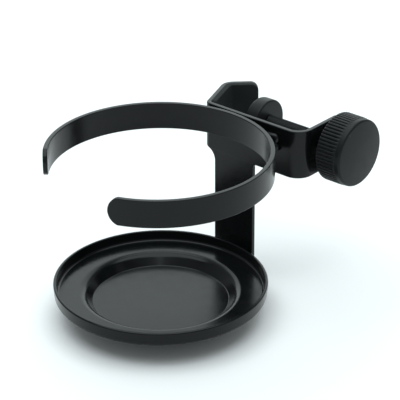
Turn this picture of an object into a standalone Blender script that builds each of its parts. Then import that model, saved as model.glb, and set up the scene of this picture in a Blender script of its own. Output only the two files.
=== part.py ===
"""Clamp-on drink holder: a bent steel bracket that grips a tube or post between a V jaw and a screw,
an open steel ring for the cup, and a round dish that the cup stands in.

Lengths are in metres and angles in degrees. The holder is laid out around the cup's axis, with +Y towards
the clamp, +X towards the knob and z = 0 at the foot of the dish's rim. An empty then moves the whole
layout so that the origin is the centre of the tube that the jaw holds.
"""
import math

import bmesh
import bpy
from mathutils import Vector

GAP = 0.0003                     # space left between pieces that touch
CUT_PAST = 0.0020                # how far a cutter runs past the face that it opens

# Cup ring
RING_OUTER_R = 0.0420
SHEET = 0.0018                   # steel strip and bracket alike, with their coating
RING_HEIGHT = 0.0105
RING_START_DEG = -73.6           # the mouth lies between the two ends
RING_END_DEG = 225.2
RING_TIP_R = 0.0056              # radius of the rounded ends, seen flat
TOP_Z = 0.0586                   # top edge of ring and bracket

# Clamp bracket
PLATE_Y = RING_OUTER_R + GAP + SHEET / 2      # middle of the plate's thickness
WING_HEIGHT = 0.0190
JAW_LOWER_EDGE_RISE = 0.0009      # the jaw is that much narrower than the wing
STEM_LEFT_X = -0.0097
STEM_RIGHT_X = 0.0091
LEFT_CORNER_X = -0.0136
RIGHT_CORNER_X = 0.0310
JAW_FRONT_TILT = 20.4            # front leg of the V, from +Y towards -X
JAW_REAR_TILT = 46.5             # rear leg of the V, from +Y towards +X
JAW_FRONT_LENGTH = 0.01965
JAW_REAR_LENGTH = 0.0126
JAW_BEND_R = 0.0020              # where the jaw leaves the plate
JAW_VERTEX_R = 0.0045
JAW_TIP_CORNER_R = 0.0030        # corners of the flat blank
STEM_CORNER_R = 0.0050
NOTCH_R = 0.0015
FLANGE_CORNER_R = 0.0050
FLANGE_BEND_R = 0.0055
FLANGE_BEYOND_SCREW = 0.0098
FOOT_BEND_R = 0.0030
FOOT_TOP_Z = -0.0053
FOOT_END_Y = -0.0220

# Weld beads, in the wedges between ring and plate: angle round the ring from the knob's side
RIGHT_WELD_DEG = (72.0, 63.5)
LEFT_WELD_DEG = (80.5, 75.0)      # seen in a mirror; the plate ends sooner on this side
WELD_SAG = 0.0002
WELD_TOE = 0.0004
WELD_END_MARGIN = 0.0008         # short of the ring's edges

# Clamp screw, on an axis along X
SCREW_Y = 0.0589
SCREW_Z = 0.04975
GRIP_X = -0.00935                # centre of the tube that the jaw holds at rest
BOLT_R = 0.0029
BOLT_HEAD_FLATS = 0.0100
BOLT_HEAD_HEIGHT = 0.0040
NECK_R = 0.0017
NECK_CHAMFER = 0.0003
TIP_R = 0.0026
TIP_LENGTH = 0.0022
TIP_ROUND_R = 0.0012
HEAD_RECESS = 0.0004             # of the bolt's head below the shell's front
NUT_FLATS = 0.0100
NUT_HEIGHT = 0.0028
NUT_PILOT_R = 0.0042
NUT_BORE_R = BOLT_R + GAP

# Knob
KNOB_REAR_X = 0.0358
KNOB_R = 0.01315
KNOB_DEPTH = 0.0086
KNOB_CAP_DEPTH = 0.0027
KNOB_WALL = 0.0020
KNOB_HUB_R = 0.0068
KNOB_WEB = 0.0026                # front wall over the hollow
KNOB_RIBS = 60
RIB_DEPTH = 0.00045
CAP_FLAT_SHARE = 0.9             # of the radius, before the cap's edge rounds over
CAP_DOME = 0.0006
CAP_EDGE_DROP = 0.0008
CAP_EDGE_R = 0.0011
CAP_EDGE_TAPER = 0.0001

# Pressure pad
PAD_FRONT_X = -0.0026
PAD_LENGTH = 0.0062
PAD_R = 0.0087
PAD_BODY_R = 0.0086
PAD_LIP_LENGTH = 0.0005          # full-width rim at the rear
PAD_MOUTH_R = 0.0034
PAD_MOUTH_DEPTH = 0.0020
PAD_BEVEL_RADIAL = 0.0004
PAD_BEVEL_LENGTH = 0.0005
PAD_REAR_R = 0.0003
SOCKET_FLOOR_R = 0.0008
CLIP_THICKNESS = 0.0008
CLIP_MOUTH_DEG = 60.0

# Jaw liner
LINER_THICKNESS = 0.0015
LINER_INSET = 0.0005             # below the bracket's edges
LINER_VERTEX_R = JAW_VERTEX_R - SHEET / 2 - GAP - LINER_THICKNESS / 2
LINER_START = 0.0030             # from the bracket's front corner
LINER_TIP_CORNER_R = 0.0026
LINER_START_CORNER_R = 0.0010

# Dish
DISH_R = 0.0401
DISH_RIM_Z = 0.0048
DISH_SHELF_Z = 0.00075
DISH_FLOOR_Z = -0.0034
DISH_WALL = 0.0016
DISH_RIM_WALL = 0.0012           # rim and shelf
DISH_RECESS_R = 0.0255
DISH_STEP_R = 0.0288
DISH_DRAFT = 0.0004              # slope of the moulded walls
DISH_COVE = 0.0010
RIM_ROUND = 0.0004
STEP_FOOT_ROUND = 0.0005
STEP_EDGE_ROUND = 0.0030
UNDERSIDE_ROUND = 0.0012
BOSS_R = 0.0032
BOSS_X = 0.0060
BOSS_Y = 0.0330
SCREW_HOLE_R = 0.0018
DISH_SCREW_R = 0.0015
DISH_SCREW_TOP_Z = -0.0009
PAN_HEAD_R = 0.0028
PAN_HEAD_HEIGHT = 0.0019
PAN_HEAD_ROUND_R = 0.0011
SCREW_POINT_R = 0.0006
DRIVE_SLOT = 0.0005
DRIVE_REACH = 0.0013
DRIVE_DEPTH = 0.0009

BLACK = (0.016, 0.018, 0.019, 1.0)


# ---------------------------------------------------------------- scene helpers

def clear_scene():
    for old in list(bpy.data.objects):
        bpy.data.objects.remove(old, do_unlink=True)


def new_collection(name):
    group = bpy.data.collections.new(name)
    bpy.context.scene.collection.children.link(group)
    return group


def new_material(name, colour, roughness, metallic=0.0):
    material = bpy.data.materials.new(name)
    material.use_nodes = True
    shader = material.node_tree.nodes["Principled BSDF"]
    shader.inputs["Base Color"].default_value = colour
    shader.inputs["Roughness"].default_value = roughness
    shader.inputs["Metallic"].default_value = metallic
    return material


def new_empty(name, location, parent=None):
    empty = bpy.data.objects.new(name, None)
    empty.location = location
    empty.parent = parent
    PARTS.objects.link(empty)
    return empty


def new_part(name, mesh, material, parent, location=(0.0, 0.0, 0.0), along_x=False):
    """An object in the parts collection; along_x turns its own Z axis to the frame's X axis."""
    part = bpy.data.objects.new(name, mesh)
    part.location = location
    if along_x:
        part.rotation_euler = (0.0, math.radians(90.0), 0.0)
    part.parent = parent
    mesh.materials.append(material)
    PARTS.objects.link(part)
    return part


def smooth(mesh, angle=35.0):
    mesh.shade_smooth()
    mesh.set_sharp_from_angle(angle=math.radians(angle))


def new_cutter(name, mesh, parent, location=(0.0, 0.0, 0.0), along_x=False):
    cutter = bpy.data.objects.new(name, mesh)
    cutter.location = location
    if along_x:
        cutter.rotation_euler = (0.0, math.radians(90.0), 0.0)
    cutter.parent = parent
    cutter.hide_render = True
    cutter.display_type = "WIRE"
    CUTTERS.objects.link(cutter)
    return cutter


def join_or_cut(part, other, operation):
    boolean = part.modifiers.new(operation.lower() + "_" + other.name, "BOOLEAN")
    boolean.operation = operation
    boolean.solver = "EXACT"
    boolean.object = other


# ---------------------------------------------------------------- shape helpers

def arc(centre, radius, start_deg, end_deg, steps):
    """Points on an arc, both ends included."""
    span = end_deg - start_deg
    angles = [math.radians(start_deg + span * i / steps) for i in range(steps + 1)]
    return [(centre[0] + radius * math.cos(a), centre[1] + radius * math.sin(a)) for a in angles]


def rounded(corners, closed=True, steps=6):
    """A line through (x, y, radius) corners, with each corner replaced by an arc of that radius."""
    points = []
    count = len(corners)
    for i, (x, y, radius) in enumerate(corners):
        here = Vector((x, y))
        if radius == 0.0 or (not closed and i in (0, count - 1)):
            points.append((x, y))
            continue
        before = (Vector(corners[i - 1][:2]) - here).normalized()
        after = (Vector(corners[(i + 1) % count][:2]) - here).normalized()
        half = before.angle(after) / 2
        bisector = (before + after).normalized()
        centre = here + bisector * (radius / math.sin(half))
        start = here + before * (radius / math.tan(half)) - centre
        sweep = start.angle_signed(here + after * (radius / math.tan(half)) - centre)
        begin = math.atan2(start.y, start.x)
        for angle in [begin - sweep * step / steps for step in range(steps + 1)]:
            points.append((centre.x + radius * math.cos(angle), centre.y + radius * math.sin(angle)))
    return points


class Path:
    """A line of points that is measured along its own length, from its point nearest to `zero`."""

    def __init__(self, points, zero):
        self.points = [Vector(p) for p in points]
        self.stations = [0.0]
        for a, b in zip(self.points, self.points[1:]):
            self.stations.append(self.stations[-1] + (b - a).length)
        offset = self.station_of(Vector(zero))
        self.stations = [s - offset for s in self.stations]

    def station_of(self, target):
        best = None
        for a, b, s in zip(self.points, self.points[1:], self.stations):
            run = b - a
            t = max(0.0, min(1.0, (target - a).dot(run) / run.length_squared))
            found = ((a + run * t - target).length, s + t * run.length)
            best = found if best is None or found < best else best
        return best[1]

    def at(self, s):
        for i in range(1, len(self.stations)):
            if s <= self.stations[i] or i == len(self.stations) - 1:
                span = self.stations[i] - self.stations[i - 1]
                t = (s - self.stations[i - 1]) / span
                return self.points[i - 1].lerp(self.points[i], t)

    def start(self):
        return self.stations[0]

    def end(self):
        return self.stations[-1]


def bent_sheet(name, outline, plan, profile=None):
    """A flat blank, drawn as (length along plan, height), bent to the plan and then to the profile."""
    bm = bmesh.new()
    bm.faces.new([bm.verts.new((s, 0.0, v)) for s, v in outline])
    folds = [((s, 0.0, 0.0), (1.0, 0.0, 0.0)) for s in plan.stations[1:-1]]
    if profile:
        folds += [((0.0, 0.0, v), (0.0, 0.0, 1.0)) for v in profile.stations[1:-1]]
    for point, normal in folds:
        geometry = bm.verts[:] + bm.edges[:] + bm.faces[:]
        bmesh.ops.bisect_plane(bm, geom=geometry, dist=1e-6, plane_co=point, plane_no=normal)
    bmesh.ops.remove_doubles(bm, verts=bm.verts[:], dist=1e-6)
    for vert in bm.verts:
        s, _, v = vert.co
        x, y = plan.at(s)
        back, z = profile.at(v) if profile else (0.0, v)
        vert.co = (x, y + back, z)
    mesh = bpy.data.meshes.new(name)
    bm.to_mesh(mesh)
    bm.free()
    return mesh


def thicken(part, thickness):
    solidify = part.modifiers.new("thickness", "SOLIDIFY")
    solidify.thickness = thickness
    solidify.offset = 0.0
    solidify.use_even_offset = True


def lathe_mesh(name, profile):
    """The profile of a turned piece, as (radius, height) points from the top of the axis to its foot."""
    mesh = bpy.data.meshes.new(name)
    edges = [(i, i + 1) for i in range(len(profile) - 1)]
    mesh.from_pydata([(r, 0.0, z) for r, z in profile], edges, [])
    return mesh


def turn(part, steps):
    screw = part.modifiers.new("turned", "SCREW")
    screw.axis = "Z"
    screw.steps = steps
    screw.render_steps = steps
    screw.use_merge_vertices = True
    screw.merge_threshold = 0.00001
    screw.use_smooth_shade = False


def prism(name, outline, low, high):
    """A flat outline in X and Y, as one face at the low height drawn up to the high one."""
    bm = bmesh.new()
    face = bm.faces.new([bm.verts.new((x, y, low)) for x, y in outline])
    wall = bmesh.ops.extrude_face_region(bm, geom=[face], use_keep_orig=True)
    top = [g for g in wall["geom"] if isinstance(g, bmesh.types.BMVert)]
    bmesh.ops.translate(bm, verts=top, vec=(0.0, 0.0, high - low))
    bmesh.ops.recalc_face_normals(bm, faces=bm.faces[:])
    mesh = bpy.data.meshes.new(name)
    bm.to_mesh(mesh)
    bm.free()
    return mesh


def cylinder(name, radius, low, high, sides=32):
    """A cylinder on its own Z axis, or a prism with few sides."""
    bm = bmesh.new()
    bmesh.ops.create_cone(bm, cap_ends=True, segments=sides, radius1=radius, radius2=radius,
                          depth=high - low)
    bmesh.ops.translate(bm, verts=bm.verts[:], vec=(0.0, 0.0, (high + low) / 2))
    mesh = bpy.data.meshes.new(name)
    bm.to_mesh(mesh)
    bm.free()
    return mesh


def hexagon(name, flats, low, high):
    return cylinder(name, flats / math.sqrt(3.0), low, high, sides=6)


# ---------------------------------------------------------------- sheet metal

def jaw_corners(inward=0.0):
    """Corners of the bracket's centre line seen from above, from the jaw's rear tip to the plate."""
    front = Vector((-math.sin(math.radians(JAW_FRONT_TILT)), math.cos(math.radians(JAW_FRONT_TILT))))
    rear = Vector((math.sin(math.radians(JAW_REAR_TILT)), math.cos(math.radians(JAW_REAR_TILT))))
    left = Vector((LEFT_CORNER_X, PLATE_Y))
    vertex = left + front * JAW_FRONT_LENGTH
    tip = vertex + rear * JAW_REAR_LENGTH
    half = front.angle(-rear) / 2
    into = (rear - front).normalized()
    front_in = Vector((front.y, -front.x))
    rear_in = Vector((rear.y, -rear.x))
    return tip + rear_in * inward, vertex + into * (inward / math.sin(half)), left + front_in * inward


def bracket_plan():
    tip, vertex, left = jaw_corners()
    corners = [(*tip, 0.0), (*vertex, JAW_VERTEX_R), (*left, JAW_BEND_R),
               (RIGHT_CORNER_X, PLATE_Y, FLANGE_BEND_R),
               (RIGHT_CORNER_X, SCREW_Y + FLANGE_BEYOND_SCREW, 0.0)]
    return Path(rounded(corners, closed=False), zero=(0.0, PLATE_Y))


def bracket_profile():
    """The stem seen from its side, as (forward, height), measured by height above the foot's bend."""
    foot_z = FOOT_TOP_Z - SHEET / 2
    bend_z = foot_z + FOOT_BEND_R
    corners = [(0.0, TOP_Z, 0.0), (0.0, foot_z, FOOT_BEND_R), (FOOT_END_Y - PLATE_Y, foot_z, 0.0)]
    down = Path(rounded(corners, closed=False, steps=8), zero=(0.0, bend_z))
    down.points.reverse()
    down.stations = [bend_z - s for s in reversed(down.stations)]
    return down


def make_bracket():
    plan = bracket_plan()
    profile = bracket_profile()
    low = TOP_Z - WING_HEIGHT
    jaw_low = low + JAW_LOWER_EDGE_RISE
    outline = rounded([
        (plan.start(), TOP_Z, JAW_TIP_CORNER_R), (plan.start(), jaw_low, JAW_TIP_CORNER_R),
        (STEM_LEFT_X, jaw_low, STEM_CORNER_R), (STEM_LEFT_X, profile.start(), STEM_CORNER_R),
        (STEM_RIGHT_X, profile.start(), STEM_CORNER_R), (STEM_RIGHT_X, low, NOTCH_R),
        (plan.end(), low, FLANGE_CORNER_R), (plan.end(), TOP_Z, FLANGE_CORNER_R)])
    mesh = bent_sheet("clamp_bracket", outline, plan, profile)
    bracket = new_part("clamp_bracket", mesh, POWDER_COAT, LAYOUT)
    thicken(bracket, SHEET)
    hole = cylinder("flange_hole", NUT_PILOT_R + GAP, RIGHT_CORNER_X - SHEET / 2 - CUT_PAST,
                    RIGHT_CORNER_X + SHEET / 2 + CUT_PAST)
    join_or_cut(bracket, new_cutter("flange_hole", hole, LAYOUT, (0.0, SCREW_Y, SCREW_Z), along_x=True),
                "DIFFERENCE")
    for side, x in (("left", -BOSS_X), ("right", BOSS_X)):
        hole = cylinder("foot_hole_" + side, SCREW_HOLE_R, FOOT_TOP_Z - SHEET - CUT_PAST,
                        FOOT_TOP_Z + CUT_PAST, sides=24)
        join_or_cut(bracket, new_cutter("foot_hole_" + side, hole, LAYOUT, (x, BOSS_Y, 0.0)), "DIFFERENCE")
    smooth(mesh)


def make_ring():
    radius = RING_OUTER_R - SHEET / 2
    plan = Path(arc((0.0, 0.0), radius, RING_START_DEG, RING_END_DEG, 72), zero=(0.0, radius))
    low = TOP_Z - RING_HEIGHT
    middle = TOP_Z - RING_HEIGHT / 2
    reach = math.degrees(math.asin(RING_HEIGHT / 2 / RING_TIP_R))
    first = arc((plan.start() + RING_TIP_R, middle), RING_TIP_R, 180.0 - reach, 180.0 + reach, 10)
    last = arc((plan.end() - RING_TIP_R, middle), RING_TIP_R, -reach, reach, 10)
    mesh = bent_sheet("cup_ring", first + last, plan)
    ring = new_part("cup_ring", mesh, POWDER_COAT, LAYOUT)
    thicken(ring, SHEET)
    smooth(mesh)


def make_weld(side, inner_deg, outer_deg):
    """The bead in the wedge between the ring's outside and the plate, left or right of where they meet."""
    ring_r = RING_OUTER_R + GAP
    plate_y = PLATE_Y - SHEET / 2 - GAP
    along_ring = arc((0.0, 0.0), ring_r, inner_deg, outer_deg, 6)
    start_x = along_ring[0][0]
    end_x, end_y = along_ring[-1]
    sag = (end_x - WELD_SAG, (end_y + plate_y) / 2)
    outline = along_ring + [sag, (end_x + WELD_TOE, plate_y), (start_x, plate_y)]
    if side == "left":
        outline = [(-x, y) for x, y in reversed(outline)]
    low = TOP_Z - RING_HEIGHT + WELD_END_MARGIN
    mesh = prism("ring_weld_" + side, outline, low, TOP_Z - WELD_END_MARGIN)
    new_part("ring_weld_" + side, mesh, POWDER_COAT, LAYOUT)


def make_liner():
    inward = SHEET / 2 + GAP + LINER_THICKNESS / 2
    tip, vertex, left = jaw_corners(inward)
    run = (vertex - left).normalized()
    start = left + run * LINER_START
    corners = [(*tip, 0.0), (*vertex, LINER_VERTEX_R), (*start, 0.0)]
    plan = Path(rounded(corners, closed=False, steps=4), zero=vertex)
    high = TOP_Z - LINER_INSET
    low = TOP_Z - WING_HEIGHT + JAW_LOWER_EDGE_RISE + LINER_INSET
    first = plan.start() + LINER_INSET
    outline = rounded([(first, high, LINER_TIP_CORNER_R), (first, low, LINER_TIP_CORNER_R),
                       (plan.end(), low, LINER_START_CORNER_R), (plan.end(), high, LINER_START_CORNER_R)])
    mesh = bent_sheet("jaw_liner", outline, plan)
    liner = new_part("jaw_liner", mesh, RUBBER, LAYOUT)
    thicken(liner, LINER_THICKNESS)
    smooth(mesh)


# ---------------------------------------------------------------- dish

def dish_profile():
    """Half section of the dish, from the middle of its floor, over the rim and back underneath."""
    rim_in = DISH_R - DISH_RIM_WALL
    foot_r = DISH_R - DISH_DRAFT
    under_shelf = DISH_SHELF_Z - DISH_RIM_WALL
    under_floor = DISH_FLOOR_Z - DISH_WALL
    return rounded([(0.0, DISH_FLOOR_Z, 0.0), (DISH_RECESS_R, DISH_FLOOR_Z, STEP_FOOT_ROUND),
                    (DISH_STEP_R, DISH_SHELF_Z, STEP_EDGE_ROUND), (rim_in, DISH_SHELF_Z, DISH_COVE),
                    (rim_in, DISH_RIM_Z, RIM_ROUND), (DISH_R, DISH_RIM_Z, RIM_ROUND),
                    (foot_r, under_shelf, UNDERSIDE_ROUND),
                    (DISH_STEP_R + DISH_DRAFT, under_shelf, RIM_ROUND),
                    (DISH_RECESS_R + DISH_WALL / 2, under_floor, UNDERSIDE_ROUND), (0.0, under_floor, 0.0)],
                   closed=False, steps=3)


def make_dish():
    mesh = lathe_mesh("dish", dish_profile())
    dish = new_part("dish", mesh, DISH_PLASTIC, LAYOUT)
    turn(dish, 72)
    boss_foot = FOOT_TOP_Z + GAP
    for side, x in (("left", -BOSS_X), ("right", BOSS_X)):
        boss = cylinder("boss_" + side, BOSS_R, boss_foot, DISH_SHELF_Z - DISH_WALL / 2, sides=24)
        join_or_cut(dish, new_cutter("boss_" + side, boss, LAYOUT, (x, BOSS_Y, 0.0)), "UNION")
        pilot = cylinder("pilot_" + side, SCREW_HOLE_R, boss_foot - CUT_PAST,
                         DISH_SCREW_TOP_Z + GAP, sides=24)
        join_or_cut(dish, new_cutter("pilot_" + side, pilot, LAYOUT, (x, BOSS_Y, 0.0)), "DIFFERENCE")
    smooth(mesh)


def make_dish_screw(side, x):
    seat = FOOT_TOP_Z - SHEET - GAP
    foot = seat - PAN_HEAD_HEIGHT
    profile = rounded([(0.0, DISH_SCREW_TOP_Z, 0.0), (DISH_SCREW_R, DISH_SCREW_TOP_Z, SCREW_POINT_R),
                       (DISH_SCREW_R, seat, 0.0), (PAN_HEAD_R, seat, 0.0),
                       (PAN_HEAD_R, foot, PAN_HEAD_ROUND_R), (0.0, foot, 0.0)], closed=False, steps=3)
    mesh = lathe_mesh("dish_screw_" + side, profile)
    screw = new_part("dish_screw_" + side, mesh, BLACK_STEEL, LAYOUT, (x, BOSS_Y, 0.0))
    turn(screw, 24)
    bars = (("long", DRIVE_REACH, DRIVE_SLOT / 2), ("cross", DRIVE_SLOT / 2, DRIVE_REACH))
    for name, half_x, half_y in bars:
        outline = [(-half_x, -half_y), (half_x, -half_y), (half_x, half_y), (-half_x, half_y)]
        bar = prism("drive_" + name + "_" + side, outline, foot - CUT_PAST, foot + DRIVE_DEPTH)
        join_or_cut(screw, new_cutter("drive_" + name + "_" + side, bar, LAYOUT, (x, BOSS_Y, 0.0)),
                    "DIFFERENCE")
    smooth(mesh)


# ---------------------------------------------------------------- clamp screw

def make_nut():
    inner_face = RIGHT_CORNER_X - SHEET / 2 - GAP
    seat = (0.0, SCREW_Y, SCREW_Z)
    mesh = hexagon("flange_nut", NUT_FLATS, inner_face - NUT_HEIGHT, inner_face)
    nut = new_part("flange_nut", mesh, BLACK_STEEL, LAYOUT, seat, along_x=True)
    pilot = cylinder("nut_pilot", NUT_PILOT_R, inner_face - NUT_HEIGHT / 2,
                     RIGHT_CORNER_X + SHEET / 2 - GAP)
    join_or_cut(nut, new_cutter("nut_pilot", pilot, LAYOUT, seat, along_x=True), "UNION")
    bore = cylinder("nut_bore", NUT_BORE_R, inner_face - NUT_HEIGHT - CUT_PAST,
                    RIGHT_CORNER_X + SHEET / 2 + CUT_PAST)
    join_or_cut(nut, new_cutter("nut_bore", bore, LAYOUT, seat, along_x=True), "DIFFERENCE")


def make_bolt():
    """The clamping bolt: hex head inside the knob, and a button tip that turns inside the pad."""
    head_front = KNOB_REAR_X + KNOB_DEPTH - HEAD_RECESS
    head_rear = head_front - BOLT_HEAD_HEIGHT
    shank_top = head_rear + BOLT_HEAD_HEIGHT / 2
    pad_rear = PAD_FRONT_X + PAD_LENGTH
    neck_front = pad_rear - PAD_MOUTH_DEPTH
    shank_end = pad_rear - GAP
    tip_end = neck_front - TIP_LENGTH
    profile = rounded([(0.0, shank_top, 0.0), (BOLT_R, shank_top, 0.0),
                       (BOLT_R, shank_end, 2 * NECK_CHAMFER), (NECK_R, shank_end - NECK_CHAMFER, 0.0),
                       (NECK_R, neck_front, 0.0), (TIP_R, neck_front, 0.0),
                       (TIP_R, tip_end, TIP_ROUND_R), (0.0, tip_end, 0.0)], closed=False, steps=3)
    mesh = lathe_mesh("clamp_bolt", profile)
    bolt = new_part("clamp_bolt", mesh, BLACK_STEEL, SCREW_AXIS, along_x=True)
    turn(bolt, 32)
    head = hexagon("bolt_head", BOLT_HEAD_FLATS, head_rear, head_front)
    join_or_cut(bolt, new_cutter("bolt_head", head, SCREW_AXIS, along_x=True), "UNION")
    smooth(mesh)


def knob_outline(points_per_rib=4):
    """Cross-section of the ribbed rim: shallow round flutes between the ribs."""
    count = KNOB_RIBS * points_per_rib
    outline = []
    for i in range(count):
        angle = 2.0 * math.pi * i / count
        wave = 0.5 - 0.5 * math.cos(2.0 * math.pi * i / points_per_rib)
        radius = KNOB_R - RIB_DEPTH * wave
        outline.append((radius * math.cos(angle), radius * math.sin(angle)))
    return outline


def make_knob_shell():
    front = KNOB_REAR_X + KNOB_DEPTH
    mesh = prism("knob_shell", knob_outline(), KNOB_REAR_X, front)
    shell = new_part("knob_shell", mesh, KNOB_PLASTIC, SCREW_AXIS, along_x=True)
    web = front - KNOB_WEB
    past_rear = KNOB_REAR_X - CUT_PAST
    hollow = lathe_mesh("knob_hollow", [
        (KNOB_R - KNOB_WALL, web), (KNOB_R - KNOB_WALL, past_rear),
        (KNOB_HUB_R, past_rear), (KNOB_HUB_R, web), (KNOB_R - KNOB_WALL, web)])
    cutter = new_cutter("knob_hollow", hollow, SCREW_AXIS, along_x=True)
    turn(cutter, 48)
    join_or_cut(shell, cutter, "DIFFERENCE")
    bore = cylinder("knob_bore", BOLT_R + GAP, past_rear, front + CUT_PAST)
    join_or_cut(shell, new_cutter("knob_bore", bore, SCREW_AXIS, along_x=True), "DIFFERENCE")
    pocket_floor = front - HEAD_RECESS - BOLT_HEAD_HEIGHT - GAP
    pocket = hexagon("knob_pocket", BOLT_HEAD_FLATS + 2 * GAP, pocket_floor, front + CUT_PAST)
    join_or_cut(shell, new_cutter("knob_pocket", pocket, SCREW_AXIS, along_x=True), "DIFFERENCE")


def make_knob_cap():
    low = KNOB_REAR_X + KNOB_DEPTH + GAP
    high = low + KNOB_CAP_DEPTH
    edge = KNOB_R - RIB_DEPTH
    flat = edge * CAP_FLAT_SHARE
    dome = [(flat * i / 8, high - CAP_DOME * (i / 8) ** 2) for i in range(8)]
    rim = rounded([(flat, high - CAP_DOME, 0.0), (edge - CAP_EDGE_TAPER, high - CAP_EDGE_DROP, CAP_EDGE_R),
                   (edge, low, 0.0)], closed=False, steps=5)
    profile = dome + rim + [(0.0, low)]
    mesh = lathe_mesh("knob_cap", profile)
    cap = new_part("knob_cap", mesh, KNOB_PLASTIC, SCREW_AXIS, along_x=True)
    turn(cap, 60)
    smooth(mesh)


def make_pad():
    rear = PAD_FRONT_X + PAD_LENGTH
    mouth_floor = rear - PAD_MOUTH_DEPTH
    socket_floor = mouth_floor - TIP_LENGTH - GAP
    profile = rounded([(0.0, socket_floor, 0.0), (TIP_R + GAP, socket_floor, SOCKET_FLOOR_R),
                       (TIP_R + GAP, mouth_floor, 0.0), (PAD_MOUTH_R, mouth_floor, 0.0),
                       (PAD_MOUTH_R, rear, 0.0), (PAD_R, rear, PAD_REAR_R),
                       (PAD_R, rear - PAD_LIP_LENGTH, 0.0), (PAD_BODY_R, rear - PAD_LIP_LENGTH, 0.0),
                       (PAD_BODY_R, PAD_FRONT_X + PAD_BEVEL_LENGTH, 0.0),
                       (PAD_BODY_R - PAD_BEVEL_RADIAL, PAD_FRONT_X, 0.0),
                       (0.0, PAD_FRONT_X, 0.0)], closed=False, steps=3)
    mesh = lathe_mesh("pressure_pad", profile)
    pad = new_part("pressure_pad", mesh, KNOB_PLASTIC, PAD_SLIDE, along_x=True)
    turn(pad, 48)
    smooth(mesh)


def make_pad_clip():
    """The open ring pressed into the pad's mouth, round the bolt's neck and behind its tip."""
    inner = NECK_R + GAP
    outer = PAD_MOUTH_R - GAP
    low = PAD_FRONT_X + PAD_LENGTH - PAD_MOUTH_DEPTH + GAP
    first = CLIP_MOUTH_DEG / 2
    last = 360.0 - first
    outline = arc((0.0, 0.0), outer, first, last, 40) + arc((0.0, 0.0), inner, last, first, 40)
    mesh = prism("pad_clip", outline, low, low + CLIP_THICKNESS)
    new_part("pad_clip", mesh, BLACK_STEEL, PAD_SLIDE, along_x=True)
    smooth(mesh)


# ---------------------------------------------------------------- assembly

clear_scene()
PARTS = new_collection("drink_holder")
CUTTERS = new_collection("drink_holder_cutters")
POWDER_COAT = new_material("black_powder_coat", BLACK, 0.38)
DISH_PLASTIC = new_material("black_dish_plastic", BLACK, 0.34)
KNOB_PLASTIC = new_material("black_knob_plastic", (0.028, 0.031, 0.032, 1.0), 0.50)
BLACK_STEEL = new_material("black_zinc_steel", (0.030, 0.030, 0.032, 1.0), 0.40, 0.8)
RUBBER = new_material("black_rubber", (0.012, 0.012, 0.013, 1.0), 0.70)
LAYOUT = new_empty("layout", (-GRIP_X, -SCREW_Y, -SCREW_Z))
PAD_SLIDE = new_empty("pad_slide", (0.0, SCREW_Y, SCREW_Z), LAYOUT)
SCREW_AXIS = new_empty("screw_axis", (0.0, 0.0, 0.0), PAD_SLIDE)

make_bracket()
make_ring()
make_weld("left", *LEFT_WELD_DEG)
make_weld("right", *RIGHT_WELD_DEG)
make_liner()
make_dish()
make_dish_screw("left", -BOSS_X)
make_dish_screw("right", BOSS_X)
make_nut()
make_bolt()
make_knob_shell()
make_knob_cap()
make_pad()
make_pad_clip()
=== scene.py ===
"""Looks for the clamp-on drink holder: coated sheet steel, a moulded dish, a threaded screw, a ribbed knob.

Lengths are in metres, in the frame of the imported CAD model: the origin is the centre of the tube that the
jaw holds, +X runs along the clamp screw to the knob, -Y towards the cup and +Z up.
"""

import math

import bmesh
import bpy
from mathutils import Matrix, Vector


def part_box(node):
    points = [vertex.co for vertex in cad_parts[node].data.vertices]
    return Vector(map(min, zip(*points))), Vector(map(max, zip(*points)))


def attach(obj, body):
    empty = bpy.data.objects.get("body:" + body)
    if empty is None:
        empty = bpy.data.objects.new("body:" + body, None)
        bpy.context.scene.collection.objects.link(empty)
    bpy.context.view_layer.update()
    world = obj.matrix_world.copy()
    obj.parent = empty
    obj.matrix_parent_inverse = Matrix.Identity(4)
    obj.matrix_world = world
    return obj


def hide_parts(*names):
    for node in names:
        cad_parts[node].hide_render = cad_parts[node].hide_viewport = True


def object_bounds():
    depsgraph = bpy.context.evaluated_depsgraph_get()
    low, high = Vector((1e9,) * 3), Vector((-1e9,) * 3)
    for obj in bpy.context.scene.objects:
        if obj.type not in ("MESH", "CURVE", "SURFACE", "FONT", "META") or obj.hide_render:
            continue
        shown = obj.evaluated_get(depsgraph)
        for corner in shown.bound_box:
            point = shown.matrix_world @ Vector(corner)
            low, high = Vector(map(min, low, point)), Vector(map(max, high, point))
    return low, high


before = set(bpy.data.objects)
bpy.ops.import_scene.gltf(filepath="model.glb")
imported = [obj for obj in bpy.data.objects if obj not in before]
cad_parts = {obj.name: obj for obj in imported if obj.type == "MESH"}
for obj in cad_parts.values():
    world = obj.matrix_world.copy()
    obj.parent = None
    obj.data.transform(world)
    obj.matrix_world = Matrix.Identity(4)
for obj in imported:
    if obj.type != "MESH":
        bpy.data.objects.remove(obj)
CAD_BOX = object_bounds()

# ---------------------------------------------------------------- places and sizes from the frame

RING_LOW, RING_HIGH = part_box("cup_ring")
DISH_LOW, DISH_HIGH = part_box("dish")
BRACKET_LOW, BRACKET_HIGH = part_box("clamp_bracket")
SHELL_LOW, SHELL_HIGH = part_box("knob_shell")
CAP_LOW, CAP_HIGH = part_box("knob_cap")
PAD_LOW, PAD_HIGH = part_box("pressure_pad")
NUT_LOW, NUT_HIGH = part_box("flange_nut")
CLIP_LOW, CLIP_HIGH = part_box("pad_clip")
BOLT_LOW, BOLT_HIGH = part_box("clamp_bolt")
LEFT_SCREW_LOW, LEFT_SCREW_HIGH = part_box("dish_screw_left")

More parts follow.
